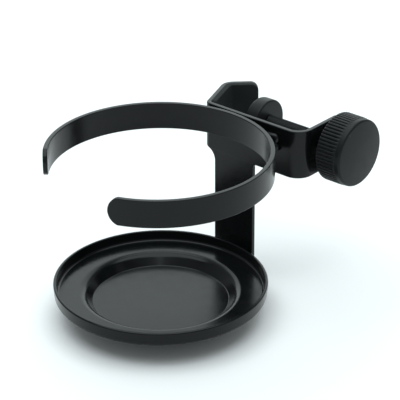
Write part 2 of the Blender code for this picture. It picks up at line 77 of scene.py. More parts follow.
CUP_X = (DISH_LOW.x + DISH_HIGH.x) / 2
CUP_Y = (DISH_LOW.y + DISH_HIGH.y) / 2
TOP = RING_HIGH.z                         # top edge of ring and bracket
RING_HEIGHT = RING_HIGH.z - RING_LOW.z
RING_R = 0.0420
DISH_R = (DISH_HIGH.x - DISH_LOW.x) / 2
SHEET = 0.0018
GAP = 0.0003                              # the clearance that the CAD leaves between pieces
EDGE_R = 0.00034                          # rounded edges of the coated sheet
PLATE_Y = CUP_Y + RING_R + GAP + SHEET / 2

# Ring
RING_START_DEG = -73.6
RING_END_DEG = 225.2
RING_TIP_R = 0.0056

RING_TIP_EDGE_R = 0.0008                  # where the round tips meet the strip's long edges

# Weld runs, as angles round the ring from the knob's side
LEFT_WELD_DEG = (80.5, 73.0)
RIGHT_WELD_DEG = (72.5, 58.0)
WELD_R = 0.0018                           # half a dab's thickness
LEFT_WELD_DABS = 3
RIGHT_WELD_DABS = 2
LEFT_WELD_MARGIN = 0.0010                 # short of the ring's edges
RIGHT_WELD_LOW = 0.0095                   # below the ring's top edge
RIGHT_WELD_HIGH = 0.0027
WELD_STAND_OFF = 0.55                     # of a dab's radius, from the plate to the outer end's centre
WELD_CROWN = 0.22                         # of a dab's length, from its outer end to its highest point
WELD_OVERLAP = 0.60                       # half a dab's height, where 0.5 would make dabs that just meet
WELD_STEPS = 16                           # levels of a whole dab
WELD_WAIST = 3                            # levels lost where one dab meets the next

# Bracket
WING_HEIGHT = 0.0190
JAW_LOWER_EDGE_RISE = 0.0009
STEM_LEFT = -0.0097                       # from the cup's axis
STEM_RIGHT = 0.0091
LEFT_CORNER = -0.0136
RIGHT_CORNER_X = BRACKET_HIGH.x - SHEET / 2
JAW_FRONT_TILT = 20.4
JAW_REAR_TILT = 46.5
JAW_FRONT_LENGTH = 0.01965
JAW_REAR_LENGTH = 0.0126
JAW_BEND_R = 0.0020
JAW_VERTEX_R = 0.0045
FLANGE_BEND_R = 0.0055
FLANGE_BEYOND_SCREW = 0.0098
FOOT_BEND_R = 0.0030
FOOT_Z = BRACKET_LOW.z + SHEET / 2
JAW_TIP_CORNER_R = 0.0030
STEM_CORNER_R = 0.0050
NOTCH_R = 0.0015
PILOT_HOLE_R = 0.0045
FOOT_HOLE_R = 0.0018
BOSS_X = CUP_X - (LEFT_SCREW_LOW.x + LEFT_SCREW_HIGH.x) / 2
BOSS_Y = (LEFT_SCREW_LOW.y + LEFT_SCREW_HIGH.y) / 2

# Liner
LINER_THICKNESS = 0.0015
LINER_INSET = 0.00005                     # short of the steel's edges
LINER_START = 0.0014                      # from the corner where jaw and plate meet
LINER_EDGE_R = 0.00028
LINER_TIP_CORNER_R = 0.0028
LINER_INNER_CORNER_R = 0.0010

# Screw and knob, turned about the X axis
PITCH = 0.0010
THREAD_DEPTH = 0.00061
THREAD_STEPS = 24                         # rings of vertices in one pitch
CREST_START = 0.88                        # the thread's section, from 0 mid-groove to 1 mid-crest
FLANK_SPAN = 0.55
LEAD_IN = 0.0004                          # how far the first crest is turned down
THREAD_IN_KNOB = 0.0020
BOLT_R = 0.0029
NECK_R = 0.0017
TIP_R = 0.0026
HEAD_FLATS = 0.0100
KNOB_R = (SHELL_HIGH.z - SHELL_LOW.z) / 2
KNOB_RIBS = 60
STEPS_PER_RIB = 8
RIB_DEPTH = 0.00045
RIB_END_DEPTH = RIB_DEPTH * 0.35          # where ribs and grooves run out to one level
RIB_RUN_OUT = 0.0010
KNOB_WALL = 0.0020
KNOB_HUB_R = 0.0068
KNOB_WEB = 0.0026                         # thickness of its front wall
KNOB_BORE_R = BOLT_R + GAP
HEAD_POCKET_R = 0.0060
HEAD_POCKET_DEPTH = 0.0047
HEAD_THICKNESS = 0.0040
CORNER_R = HEAD_FLATS / math.sqrt(3.0)    # of the hexagons on bolt and nut
CAP_DOME = 0.0008                         # how much its face rises to the middle
CAP_PROUD = RIB_DEPTH * 0.6               # over the CAD's plain cap, which is level with the grooves
NUT_PILOT_R = 0.0042

# Pad
PAD_R = (PAD_HIGH.z - PAD_LOW.z) / 2
PAD_BODY_R = PAD_R - 0.00005
PAD_MOUTH_DEPTH = 0.0020
PAD_FRONT_EDGE_R = 0.0017
PAD_REAR_EDGE_R = 0.0007
CLIP_R = 0.0031
CLIP_MOUTH_DEG = 30.0                     # half of the clip's open sector

# Dish, measured from the foot of its rim
DISH_ZERO = DISH_HIGH.z - 0.0048
DISH_SHELF = 0.00075
DISH_FLOOR = -0.0034
DISH_WALL = 0.0016
DISH_RIM_WALL = 0.0012
DISH_RECESS_R = 0.0255
DISH_STEP_R = 0.0288
DISH_RIM_HEIGHT = DISH_HIGH.z - DISH_ZERO

# Bosses and screws under the dish
BOSS_R = 0.0031
BOSS_ROOT_R = 0.0037
BOSS_BORE_R = 0.0018
TRAY_SCREW_R = 0.0015
TRAY_SCREW_HEAD_R = 0.0028
CROSS_REACH = 0.0014
CROSS_WIDTH = 0.00056
CROSS_DEPTH = 0.0016                      # half of it lies inside the head
CROSS_TAPER = 0.55
CROSS_TURN_DEG = 20.0

MERGE = 1e-7                              # distances below this are taken as none
RIM_ANGLE = 1.2                           # radians; sharper edges of a blank are its rims
RING_STEP_DEG = 2.5
ALONG_X = Matrix.Rotation(math.radians(90.0), 4, "Y")      # turns a piece's own Z axis to +X


# ---------------------------------------------------------------- shape helpers

def rounded(corners, closed=True, steps=6):
    """A line through (x, y, radius) corners, with each corner replaced by an arc of that radius."""
    points = []
    count = len(corners)
    for i, (x, y, radius) in enumerate(corners):
        here = Vector((x, y))
        if radius == 0.0 or (not closed and i in (0, count - 1)):
            points.append((x, y))
            continue
        before = (Vector(corners[i - 1][:2]) - here).normalized()
        after = (Vector(corners[(i + 1) % count][:2]) - here).normalized()
        half = before.angle(after) / 2
        centre = here + (before + after).normalized() * (radius / math.sin(half))
        start = here + before * (radius / math.tan(half)) - centre
        sweep = start.angle_signed(here + after * (radius / math.tan(half)) - centre)
        begin = math.atan2(start.y, start.x)
        for angle in [begin - sweep * step / steps for step in range(steps + 1)]:
            points.append((centre.x + radius * math.cos(angle), centre.y + radius * math.sin(angle)))
    return points


def arc(centre, radius, start_deg, end_deg, steps):
    angles = [math.radians(start_deg + (end_deg - start_deg) * i / steps) for i in range(steps + 1)]
    return [(centre[0] + radius * math.cos(a), centre[1] + radius * math.sin(a)) for a in angles]


class Route:
    """Straight runs and arcs in a plane, measured along their length.

    Each run is (length, bend in degrees).
    """

    def __init__(self, start, heading_deg, runs):
        self.start = 0.0
        self.pieces = []
        station = self.start
        point = Vector(start)
        heading = math.radians(heading_deg)
        for length, bend_deg in runs:
            curve = math.radians(bend_deg) / length
            piece = (station, length, point, heading, curve)
            self.pieces.append(piece)
            station += length
            point, heading = self.walk(piece, length)
        self.end = station

    @staticmethod
    def walk(piece, length):
        _, _, point, heading, curve = piece
        if curve == 0.0:
            return point + Vector((math.cos(heading), math.sin(heading))) * length, heading
        turned = heading + curve * length
        step = Vector((math.sin(turned) - math.sin(heading), math.cos(heading) - math.cos(turned)))
        return point + step / curve, turned

    def at(self, station):
        """The point at a station, and the unit normal to the left of the way the route runs."""
        piece = [p for p in self.pieces if p[0] <= station + 1e-9 or p is self.pieces[0]][-1]
        point, heading = self.walk(piece, station - piece[0])
        return point, Vector((-math.sin(heading), math.cos(heading)))

    def folds(self, step_deg=5.0):
        """Stations where a flat blank has to be split so that it can bend."""
        found = []
        for start, length, _, _, curve in self.pieces:
            if curve:
                count = max(2, round(abs(math.degrees(curve * length)) / step_deg))
                found += [start + length * i / count for i in range(count + 1)]
        return sorted(set(found))


def route_through(corners):
    """A Route through (x, y, radius) corners."""
    points = [Vector(c[:2]) for c in corners]
    legs = [b - a for a, b in zip(points, points[1:])]
    runs = []
    taken = 0.0
    for leg, after, corner in zip(legs, legs[1:], corners[1:]):
        turn = -leg.angle_signed(after)
        cut = corner[2] * math.tan(abs(turn) / 2)
        runs += [(leg.length - taken - cut, 0.0), (corner[2] * abs(turn), math.degrees(turn))]
        taken = cut
    runs.append((legs[-1].length - taken, 0.0))
    return Route(points[0], math.degrees(math.atan2(legs[0].y, legs[0].x)), runs)


def split(bm, point, normal):
    """Adds a line of vertices where a plane crosses the blank."""
    geometry = bm.verts[:] + bm.edges[:] + bm.faces[:]
    bmesh.ops.bisect_plane(bm, geom=geometry, dist=MERGE, plane_co=point, plane_no=normal)


def blank(loops, thickness, edge_r, segments=3):
    """A flat plate in X and Y with rounded rims. The first loop is its outline and the others are holes."""
    bm = bmesh.new()
    for loop in loops:
        verts = [bm.verts.new((x, y, -thickness / 2)) for x, y in loop]
        for a, b in zip(verts, verts[1:] + verts[:1]):
            bm.edges.new((a, b))
    bmesh.ops.triangle_fill(bm, use_beauty=True, edges=bm.edges[:])
    made = bmesh.ops.extrude_face_region(bm, geom=bm.faces[:], use_keep_orig=True)
    raised = [g for g in made["geom"] if isinstance(g, bmesh.types.BMVert)]
    bmesh.ops.translate(bm, verts=raised, vec=(0.0, 0.0, thickness))
    bmesh.ops.recalc_face_normals(bm, faces=bm.faces[:])
    bm.normal_update()
    rims = [e for e in bm.edges if len(e.link_faces) == 2 and e.calc_face_angle(0.0) > RIM_ANGLE
            and abs(e.verts[0].co.z - e.verts[1].co.z) < MERGE]
    bmesh.ops.bevel(bm, geom=rims, offset=edge_r, offset_type="OFFSET", segments=segments, profile=0.5,
                    affect="EDGES", clamp_overlap=False)
    return bm


def fold(bm, plan, profile=None, profile_from=0.0):
    """Bends a blank to the plan, and below profile_from to the profile. Blank Y is height, Z is depth."""
    cuts = [((s, 0.0, 0.0), (1.0, 0.0, 0.0)) for s in plan.folds()]
    if profile:
        cuts += [((0.0, profile_from - s, 0.0), (0.0, 1.0, 0.0)) for s in profile.folds()]
    for point, normal in cuts:
        split(bm, point, normal)
    for vert in bm.verts:
        s, height, depth = vert.co
        spot, normal = plan.at(s)
        if profile and height < profile_from:
            side, outward = profile.at(profile_from - height)
            vert.co = (spot.x, side.x + outward.x * depth, side.y + outward.y * depth)
        else:
            vert.co = (spot.x + normal.x * depth, spot.y + normal.y * depth, height)
    return bm


def bridge(bm, a, b):
    """Faces between two rings of vertices; either may be a single vertex on the axis."""
    count = max(len(a), len(b))
    for k in range(count):
        n = (k + 1) % count
        if len(a) == 1:
            bm.faces.new((a[0], b[k], b[n]))
        elif len(b) == 1:
            bm.faces.new((a[n], a[k], b[0]))
        else:
            bm.faces.new((a[k], b[k], b[n], a[n]))


def lathe(profile, steps, closed=False, trim=None):
    """A turned solid on the Z axis from (radius, height) points, whose radius trim() may cut back."""
    bm = bmesh.new()
    rings = []
    for radius, height in profile:
        if radius == 0.0:
            rings.append([bm.verts.new((0.0, 0.0, height))])
            continue
        ring = []
        for k in range(steps):
            angle = 2.0 * math.pi * k / steps
            r = trim(radius, height, angle) if trim else radius
            ring.append(bm.verts.new((r * math.cos(angle), r * math.sin(angle), height)))
        rings.append(ring)
    pairs = list(zip(rings, rings[1:]))
    if closed:
        pairs.append((rings[-1], rings[0]))
    for a, b in pairs:
        bridge(bm, a, b)
    return bm


def hex_trim(flats, low, high):
    """Trims the turned outline to a hexagon between two heights, which leaves the chamfered corners."""
    def trim(radius, height, angle):
        if not low <= height <= high:
            return radius
        turned = (angle + math.pi / 6) % (math.pi / 3) - math.pi / 6
        return min(radius, flats / 2 / math.cos(turned))
    return trim


def piece(name, bm, material, slot, body, node=None, matrix=None, sharp_deg=40.0):
    """Turns a bmesh into a finished piece that rides on a body and may stand for a CAD node."""
    if matrix:
        bm.transform(matrix)
    bmesh.ops.recalc_face_normals(bm, faces=bm.faces[:])
    mesh = bpy.data.meshes.new(name)
    bm.to_mesh(mesh)
    bm.free()
    mesh.materials.append(material)
    mesh.shade_smooth()
    mesh.set_sharp_from_angle(angle=math.radians(sharp_deg))
    obj = bpy.data.objects.new(name, mesh)
    bpy.context.scene.collection.objects.link(obj)
    weighted = obj.modifiers.new("face weighted normals", "WEIGHTED_NORMAL")
    weighted.keep_sharp = True
    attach(obj, body)
    if node:
        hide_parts(node)
    return obj


# ---------------------------------------------------------------- materials

ROUGHNESS_PATCH = 0.004
ROUGHNESS_SPREAD = 0.03
COLOUR_PATCH = 0.012
COLOUR_SPREAD = 0.15
EDGE_FOUND = (0.53, 0.62)                 # pointiness from where an edge starts to where it is full


class Finish:
    """Builds a Principled material whose fine relief comes from noise at a real scale, in metres."""

    def __init__(self, name, colour, roughness, metallic=0.0, specular=0.5):
        self.material = bpy.data.materials.new(name)
        self.material.use_nodes = True
        self.tree = self.material.node_tree
        self.shader = self.tree.nodes["Principled BSDF"]
        self.shader.inputs["Metallic"].default_value = metallic
        self.shader.inputs["Specular IOR Level"].default_value = specular
        self.place = self.tree.nodes.new("ShaderNodeTexCoord").outputs["Object"]
        self.colour = self.tint(colour)
        patches = self.noise(ROUGHNESS_PATCH, 3.0)
        self.roughness = self.spread(patches, roughness - ROUGHNESS_SPREAD, roughness + ROUGHNESS_SPREAD)
        self.relief = None

    def node(self, kind, **values):
        made = self.tree.nodes.new(kind)
        for key, value in values.items():
            setattr(made, key, value)
        return made

    def link(self, source, target):
        self.tree.links.new(source, target)

    def noise(self, size, detail=2.0, place=None):
        """Noise whose patches are about `size` metres across."""
        made = self.node("ShaderNodeTexNoise")
        made.inputs["Scale"].default_value = 1.0 / size
        made.inputs["Detail"].default_value = detail
        self.link(place or self.place, made.inputs["Vector"])
        return made.outputs["Fac"]

    def spread(self, source, low, high, start=0.3, end=0.7):
        """Maps a source from start..end to low..high."""
        made = self.node("ShaderNodeMapRange")
        for key, value in (("From Min", start), ("From Max", end), ("To Min", low), ("To Max", high)):
            made.inputs[key].default_value = value
        self.link(source, made.inputs["Value"])
        return made.outputs["Result"]

    def mix(self, factor, first, second):
        """A colour mix; each colour is a socket or a plain colour."""
        made = self.node("ShaderNodeMix", data_type="RGBA")
        self.link(factor, made.inputs["Factor"])
        for key, value in (("A", first), ("B", second)):
            target = [i for i in made.inputs if i.name == key and i.type == "RGBA"][0]
            if isinstance(value, bpy.types.NodeSocket):
                self.link(value, target)
            else:
                target.default_value = (*value, 1.0)
        return [o for o in made.outputs if o.type == "RGBA"][0]

    def tint(self, colour):
        """The base colour, a little lighter and darker in broad patches."""
        darker = [c * (1.0 - COLOUR_SPREAD) for c in colour]
        lighter = [c * (1.0 + COLOUR_SPREAD) for c in colour]
        return self.mix(self.spread(self.noise(COLOUR_PATCH), 0.0, 1.0), darker, lighter)

    def bump(self, size, depth, detail=2.0, source=None):
        made = self.node("ShaderNodeBump")
        made.inputs["Distance"].default_value = depth
        self.link(source or self.noise(size, detail), made.inputs["Height"])
        if self.relief:
            self.link(self.relief, made.inputs["Normal"])
        self.relief = made.outputs["Normal"]
        return self

    def wear_and_sheen_edges(self, colour, amount):
        """Edges painted a little lighter, found from how sharply the surface turns: partly wear, partly a
        painted edge highlight.
        """
        edges = self.node("ShaderNodeNewGeometry").outputs["Pointiness"]
        # painted edge highlight, mixed with wear, where the surface turns sharply
        wear_and_sheen = self.spread(edges, 0.0, amount, *EDGE_FOUND)
        self.colour = self.mix(wear_and_sheen, self.colour, colour)
        return self

    def combine(self, operation, first, second, third=None):
        """A sum or product; each value is a socket or a number."""
        made = self.node("ShaderNodeMath", operation=operation)
        for target, value in zip(made.inputs, (first, second, third)):
            if isinstance(value, bpy.types.NodeSocket):
                self.link(value, target)
            elif value is not None:
                target.default_value = value
        return made.outputs["Value"]

    def done(self):
        self.link(self.colour, self.shader.inputs["Base Color"])
        self.link(self.roughness, self.shader.inputs["Roughness"])
        if self.relief:
            self.link(self.relief, self.shader.inputs["Normal"])
        return self.material


def powder_coat():
    """Semi-gloss black powder coat: a fine orange peel over a finer grain."""
    made = Finish("black_powder_coat", (0.0042, 0.0050, 0.0053), 0.22, specular=0.22)
    made.bump(0.0016, 0.000012).bump(0.00035, 0.0000022)
    # Edges painted lighter: partly worn coat, partly a painted highlight along the sheet's edges.
    return made.wear_and_sheen_edges((0.012, 0.014, 0.015), 0.6).done()


def dish_plastic():
    """Moulded black plastic: satin rim and shelf, and a rougher, finely grained floor in the recess."""
    made = Finish("black_dish_plastic", (0.0034, 0.0041, 0.0044), 0.19, specular=0.20)
    offset = made.node("ShaderNodeVectorMath", operation="SUBTRACT")
    made.link(made.place, offset.inputs[0])
    offset.inputs[1].default_value = (CUP_X, CUP_Y, DISH_ZERO + DISH_FLOOR)
    distance = made.node("ShaderNodeVectorMath", operation="LENGTH")
    made.link(offset.outputs["Vector"], distance.inputs[0])
    edge_of_floor = (DISH_RECESS_R - 0.0005, DISH_RECESS_R + 0.0003)
    in_recess = made.spread(distance.outputs["Value"], 1.0, 0.0, *edge_of_floor)
    made.roughness = made.combine("MULTIPLY_ADD", in_recess, 0.05, made.roughness)
    grain = made.combine("MULTIPLY", made.noise(0.00045, 3.0), in_recess)
    made.bump(0.0, 0.000012, source=grain).bump(0.003, 0.000010)
    return made.done()


def knob_plastic():
    """Matte black moulded plastic with a spark-eroded texture."""
    made = Finish("black_knob_plastic", (0.0050, 0.0060, 0.0064), 0.42, specular=0.20)
    made.bump(0.00028, 0.000010, 4.0).bump(0.002, 0.000008)
    # Edges painted lighter: partly wear, partly a painted highlight on the ribs and the cap's edge.
    return made.wear_and_sheen_edges((0.022, 0.024, 0.025), 0.5).done()


def black_steel():
    """Black zinc-plated steel. The thread's crests, told by their distance from the X axis, are painted
    lighter: partly rubbed plating, partly a painted highlight.
    """
    made = Finish("black_zinc_steel", (0.0020, 0.0022, 0.0024), 0.28, metallic=0.9, specular=0.1)
    parts = made.node("ShaderNodeSeparateXYZ")
    made.link(made.place, parts.inputs["Vector"])
    across = made.node("ShaderNodeCombineXYZ")
    made.link(parts.outputs["Y"], across.inputs["Y"])
    made.link(parts.outputs["Z"], across.inputs["Z"])
    from_axis = made.node("ShaderNodeVectorMath", operation="LENGTH")
    made.link(across.outputs["Vector"], from_axis.inputs[0])
    radius = from_axis.outputs["Value"]
    above_groove = made.spread(radius, 0.0, 1.0, BOLT_R - THREAD_DEPTH * 0.25, BOLT_R - 0.00003)
    on_rod = made.spread(radius, 1.0, 0.0, BOLT_R + 0.0001, BOLT_R + 0.0002)
    crest = made.combine("MULTIPLY", above_groove, on_rod)
    made.shader.inputs["Specular Tint"].default_value = (0.12, 0.13, 0.13, 1.0)
    # painted highlight along the thread's crests, partly rubbed plating
    made.colour = made.mix(crest, made.colour, (0.12, 0.125, 0.128))
    made.roughness = made.spread(crest, 0.62, 0.26, 0.0, 1.0)
    made.bump(0.0006, 0.000006)
    return made.done()


def black_rubber():
    """Moulded black rubber, matte with a fine pebbled surface."""
    made = Finish("black_rubber", (0.0250, 0.0275, 0.0280), 0.66, specular=0.03)
    made.bump(0.0005, 0.000025, 3.0)
    # Edges painted much lighter: a painted sheen along the liner's rounded edges, partly rubbed rubber.
    return made.wear_and_sheen_edges((0.070, 0.075, 0.077), 0.9).done()


POWDER_COAT = powder_coat()
DISH_PLASTIC = dish_plastic()
KNOB_PLASTIC = knob_plastic()
BLACK_STEEL = black_steel()
BLACK_RUBBER = black_rubber()


# ---------------------------------------------------------------- sheet metal

def jaw_corners(inward=0.0):
    """Corners of the jaw's centre line seen from above: its rear tip, the V's vertex, and the plate's end."""
    front = Vector((-math.sin(math.radians(JAW_FRONT_TILT)), math.cos(math.radians(JAW_FRONT_TILT))))
    rear = Vector((math.sin(math.radians(JAW_REAR_TILT)), math.cos(math.radians(JAW_REAR_TILT))))
    left = Vector((CUP_X + LEFT_CORNER, PLATE_Y))
    vertex = left + front * JAW_FRONT_LENGTH
    tip = vertex + rear * JAW_REAR_LENGTH
    half = front.angle(-rear) / 2
    front_in = Vector((front.y, -front.x))
    rear_in = Vector((rear.y, -rear.x))
    into = (rear - front).normalized() * (inward / math.sin(half))
    return tip + rear_in * inward, vertex + into, left + front_in * inward


def make_bracket():
    """One sheet, cut flat with its holes, then bent: jaw, plate and flange in plan, foot in profile."""
    tip, vertex, left = jaw_corners()
    plan = route_through([(*tip, 0.0), (*vertex, JAW_VERTEX_R), (*left, JAW_BEND_R),
                          (RIGHT_CORNER_X, PLATE_Y, FLANGE_BEND_R),
                          (RIGHT_CORNER_X, FLANGE_BEYOND_SCREW, 0.0)])
    plate_station, _, plate_start, _, _ = plan.pieces[4]
    cup = plate_station + CUP_X - plate_start.x             # the station behind the cup's axis
    bend_z = FOOT_Z + FOOT_BEND_R
    quarter = FOOT_BEND_R * math.pi / 2
    tongue = PLATE_Y - FOOT_BEND_R - BRACKET_LOW.y
    profile = Route((PLATE_Y, bend_z), -90.0, [(quarter, -90.0), (tongue, 0.0)])
    foot_end = bend_z - profile.end
    low = TOP - WING_HEIGHT
    jaw_low = low + JAW_LOWER_EDGE_RISE
    outline = rounded([
        (plan.start, TOP, JAW_TIP_CORNER_R), (plan.start, jaw_low, JAW_TIP_CORNER_R),
        (cup + STEM_LEFT, jaw_low, STEM_CORNER_R), (cup + STEM_LEFT, foot_end, STEM_CORNER_R),
        (cup + STEM_RIGHT, foot_end, STEM_CORNER_R), (cup + STEM_RIGHT, low, NOTCH_R),
        (plan.end, low, STEM_CORNER_R), (plan.end, TOP, STEM_CORNER_R)], steps=10)
    screw_station = plan.end - FLANGE_BEYOND_SCREW
    foot_hole = bend_z - quarter - (PLATE_Y - FOOT_BEND_R - BOSS_Y)
    holes = [arc((screw_station, 0.0), PILOT_HOLE_R, 0.0, 360.0, 48)[:-1]]
    for side in (-1.0, 1.0):
        holes.append(arc((cup + side * BOSS_X, foot_hole), FOOT_HOLE_R, 0.0, 360.0, 32)[:-1])
    bm = fold(blank([outline] + holes, SHEET, EDGE_R), plan, profile, bend_z)
    return piece("bent_bracket", bm, POWDER_COAT, "powder_coat", "holder", "clamp_bracket")


def make_ring():
    """The open strip, with its two ends rounded in the flat before it is rolled."""
    radius = RING_R - SHEET / 2
    sweep = RING_END_DEG - RING_START_DEG
    start = arc((CUP_X, CUP_Y), radius, RING_START_DEG, RING_START_DEG, 1)[0]
    plan = Route(start, RING_START_DEG + 90.0, [(math.radians(sweep) * radius, sweep)])
    middle = TOP - RING_HEIGHT / 2
    reach = math.degrees(math.asin(RING_HEIGHT / 2 / RING_TIP_R))
    corners = []
    for x, turned in ((plan.start + RING_TIP_R, 180.0), (plan.end - RING_TIP_R, 0.0)):
        tip = arc((x, middle), RING_TIP_R, turned - reach, turned + reach, 24)
        corners += [(*spot, RING_TIP_EDGE_R if spot in (tip[0], tip[-1]) else 0.0) for spot in tip]
    bm = blank([rounded(corners, steps=4)], SHEET, EDGE_R)
    for station in plan.folds(RING_STEP_DEG):
        split(bm, (station, 0.0, 0.0), (1.0, 0.0, 0.0))
    bm = fold(bm, plan)
    return piece("ring_strip", bm, POWDER_COAT, "powder_coat", "holder", "cup_ring")


def make_weld(side, hand, span_deg, low, high, dabs):
    """A weld run of round dabs, one above the other, in the wedge between ring and plate."""
    face = PLATE_Y - SHEET / 2
    angles = [math.radians(a) for a in span_deg]
    on_ring = CUP_Y + RING_R * math.sin(angles[0])
    inner = Vector((RING_R * math.cos(angles[0]), (on_ring + face) / 2))
    outer = Vector((RING_R * math.cos(angles[1]), face - WELD_R * WELD_STAND_OFF))
    middle = (inner + outer) / 2
    along = (outer - inner) / 2
    across = Vector((-along.y, along.x)).normalized() * WELD_R
    crown = outer + (inner - outer) * WELD_CROWN            # where each dab is highest
    step = (high - low) / dabs
    levels = []
    bm = bmesh.new()
    for dab in range(dabs):
        first = 0 if dab == 0 else WELD_WAIST
        last = WELD_STEPS if dab == dabs - 1 else WELD_STEPS - WELD_WAIST
        for i in range(first, last + 1):
            angle = math.pi * i / WELD_STEPS
            size = math.sin(angle)
            height = low + step * (dab + 0.5 - WELD_OVERLAP * math.cos(angle))
            if i in (0, WELD_STEPS):
                levels.append([bm.verts.new((CUP_X + hand * crown.x, crown.y, height))])
                continue
            level = []
            for k in range(32):
                turn = 2.0 * math.pi * k / 32
                spot = crown + (middle - crown + along * math.cos(turn) + across * math.sin(turn)) * size
                level.append(bm.verts.new((CUP_X + hand * spot.x, min(spot.y, face + GAP / 2), height)))
            levels.append(level)
    for lower, upper in zip(levels, levels[1:]):
        bridge(bm, lower, upper)
    return piece("weld_bead_" + side, bm, POWDER_COAT, "powder_coat", "holder", "ring_weld_" + side,
                 sharp_deg=60.0)


def make_liner():
    """The rubber moulded into the jaw, flush with the steel's edges, whose rounding it fills."""
    thickness = LINER_THICKNESS + GAP + EDGE_R
    inward = SHEET / 2 - EDGE_R + thickness / 2
    rear, vertex, left = jaw_corners(inward)
    start = left + (vertex - left).normalized() * LINER_START
    plan = route_through([(*rear, 0.0), (*vertex, JAW_VERTEX_R - inward), (*start, 0.0)])
    high = TOP - LINER_INSET
    low = TOP - WING_HEIGHT + JAW_LOWER_EDGE_RISE + LINER_INSET
    tip = plan.start + LINER_INSET
    outline = rounded([(tip, high, LINER_TIP_CORNER_R), (tip, low, LINER_TIP_CORNER_R),
                       (plan.end, low, LINER_INNER_CORNER_R), (plan.end, high, LINER_INNER_CORNER_R)],
                      steps=8)
    bm = fold(blank([outline], thickness, LINER_EDGE_R), plan)
    return piece("jaw_pad_rubber", bm, BLACK_RUBBER, "rubber", "holder", "jaw_liner")


# ---------------------------------------------------------------- dish

def make_dish():
    """A thin upright rim with a tight cove, a flat shelf, and a recess with a soft shoulder."""
    rim = DISH_R - DISH_RIM_WALL
    top = DISH_RIM_HEIGHT
    under = DISH_SHELF - DISH_RIM_WALL
    floor_under = DISH_FLOOR - DISH_WALL
    profile = rounded([
        (0.0, DISH_FLOOR, 0.0), (DISH_RECESS_R, DISH_FLOOR, 0.0006), (DISH_STEP_R, DISH_SHELF, 0.0040),
        (rim - 0.0002, DISH_SHELF, 0.0010), (rim, top, 0.0003), (DISH_R, top, 0.00055),
        (DISH_R - 0.0004, under, 0.0012), (DISH_STEP_R + 0.0006, under, 0.0006),
        (DISH_RECESS_R + 0.0008, floor_under, 0.0012), (0.0, floor_under, 0.0)], closed=False, steps=10)
    place = Matrix.Translation((CUP_X, CUP_Y, DISH_ZERO))
    bm = lathe(profile, 180)
    return piece("dish_tray", bm, DISH_PLASTIC, "dish_plastic", "holder", "dish", place)


def make_boss(side, x):
    """One of the two screw bosses under the shelf, with a flared root."""
    low = FOOT_Z + SHEET / 2 + GAP
    high = DISH_ZERO + DISH_SHELF - DISH_RIM_WALL
    root = high + GAP                                       # just inside the shelf
    profile = rounded([(BOSS_BORE_R, low, 0.0), (BOSS_R, low, 0.0003), (BOSS_R, high - 0.0008, 0.0004),
                       (BOSS_ROOT_R, root, 0.0), (BOSS_BORE_R, root, 0.0)], steps=4)
    bm = lathe(profile, 48, closed=True)
    return piece("dish_boss_" + side, bm, DISH_PLASTIC, "dish_plastic", "holder",
                 matrix=Matrix.Translation((x, BOSS_Y, 0.0)))


def carve(obj, bm):
    """Cuts a shape out of a piece and keeps the result as its mesh."""
    bmesh.ops.recalc_face_normals(bm, faces=bm.faces[:])
    mesh = bpy.data.meshes.new("cutter")
    bm.to_mesh(mesh)
    bm.free()
    cutter = bpy.data.objects.new("cutter", mesh)
    bpy.context.scene.collection.objects.link(cutter)
    boolean = obj.modifiers.new("cut", "BOOLEAN")
    boolean.operation = "DIFFERENCE"
    boolean.solver = "EXACT"
    boolean.object = cutter
    obj.modifiers.move(len(obj.modifiers) - 1, 0)
    weighted = obj.modifiers[-1]
    weighted.show_viewport = False
    bpy.context.view_layer.update()
    result = bpy.data.meshes.new_from_object(obj.evaluated_get(bpy.context.evaluated_depsgraph_get()))
    obj.modifiers.remove(boolean)
    weighted.show_viewport = True
    obj.data = result
    result.set_sharp_from_angle(angle=math.radians(35.0))
    bpy.data.objects.remove(cutter)


def make_tray_screw(side, x):
    """A pan-head screw seen from below, with a cross recess."""
    low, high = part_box("dish_screw_" + side)
    seat = FOOT_Z - SHEET / 2 - GAP
    head = TRAY_SCREW_HEAD_R
    profile = rounded([(0.0, high.z, 0.0), (0.0007, high.z, 0.0), (TRAY_SCREW_R, high.z - 0.0012, 0.0),
                       (TRAY_SCREW_R, seat, 0.0), (head, seat, 0.0002), (head, low.z, 0.0011),
                       (0.0, low.z, 0.0)], closed=False, steps=6)
    place = Matrix.Translation((x, BOSS_Y, 0.0))
    bm = lathe(profile, 48)
    obj = piece("tray_screw_" + side, bm, BLACK_STEEL, "black_steel", "holder", "dish_screw_" + side, place)
    half = CROSS_WIDTH / 2
    slot = [(-CROSS_REACH, -half, 0.0001), (CROSS_REACH, -half, 0.0001),
            (CROSS_REACH, half, 0.0001), (-CROSS_REACH, half, 0.0001)]
    for turn in (CROSS_TURN_DEG, CROSS_TURN_DEG + 90.0):
        cutter = blank([rounded(slot, steps=2)], CROSS_DEPTH, 0.00001, 1)
        inside = [v for v in cutter.verts if v.co.z > 0.0]
        bmesh.ops.scale(cutter, vec=(CROSS_TAPER, CROSS_TAPER, 1.0), verts=inside)
        at_head = Matrix.Translation((x, BOSS_Y, low.z))
        cutter.transform(at_head @ Matrix.Rotation(math.radians(turn), 4, "Z"))
        carve(obj, cutter)
    return obj


# ---------------------------------------------------------------- clamp screw

